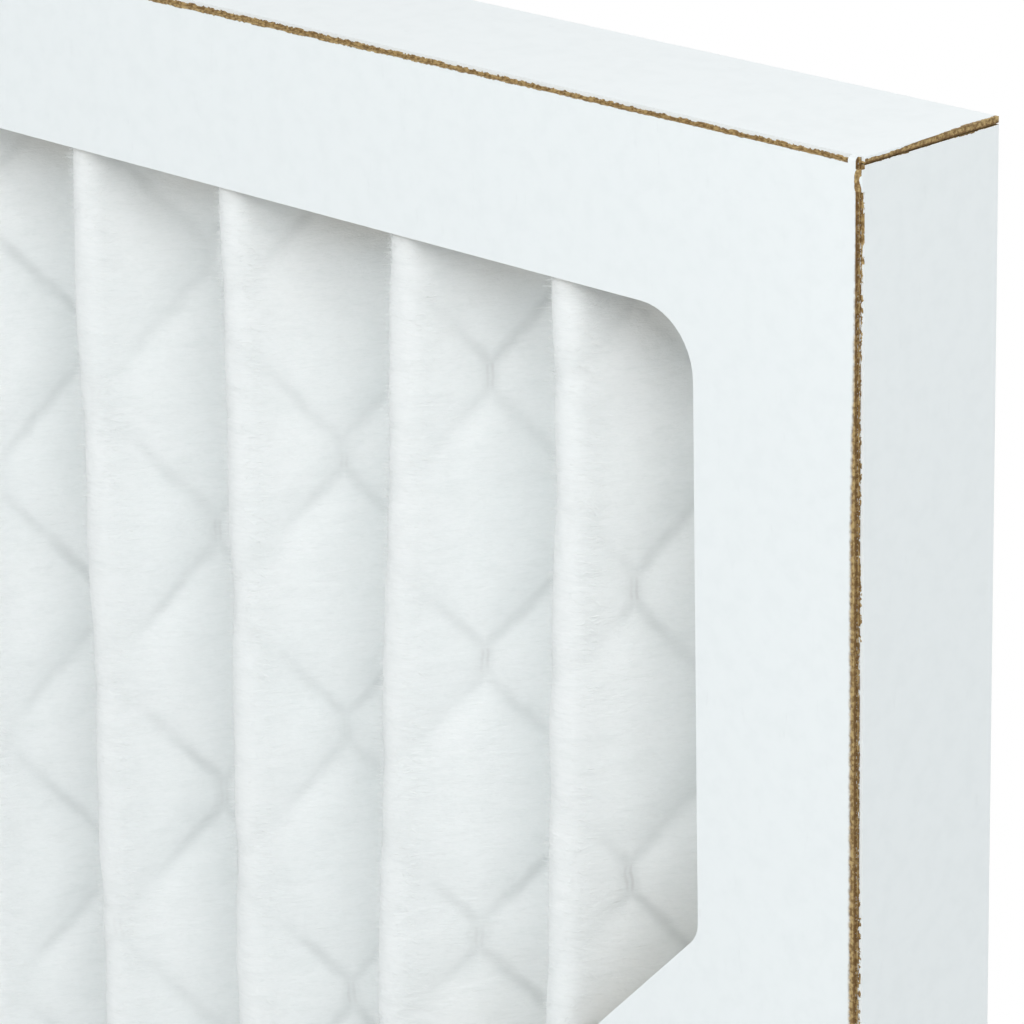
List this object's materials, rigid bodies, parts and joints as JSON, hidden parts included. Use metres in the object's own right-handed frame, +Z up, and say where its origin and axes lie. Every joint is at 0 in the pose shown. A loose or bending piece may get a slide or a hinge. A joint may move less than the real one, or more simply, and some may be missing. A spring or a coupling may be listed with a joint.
{
  "type": "pleated panel air filter",
  "caption": "Flat panel air filter: pleated white media on an expanded metal grid, in a coated board frame with diagonal straps across both faces.",
  "frame": {"origin": "middle of the bottom edge, on the surface it stands on", "axes": "+X across the pleats to the right seen from the front, +Y from the front face to the rear face, +Z up along the pleats"},
  "size_m": [0.4952, 0.019, 0.3937],
  "materials": {
    "coated_board": "white clay coat outside, bare brown kraft inside and on cut edges",
    "filter_media": "soft white nonwoven fibre",
    "grid_metal": "galvanized",
    "adhesive": "dried adhesive"
  },
  "bodies": {
    "root": {"front_tray": "coated_board", "rear_tray": "coated_board", "pleated_media": "filter_media", "support_grid": "grid_metal", "front_adhesive": "adhesive", "rear_adhesive": "adhesive", "top_adhesive": "adhesive", "bottom_adhesive": "adhesive", "left_adhesive": "adhesive", "right_adhesive": "adhesive"}
  },
  "joints": []
}
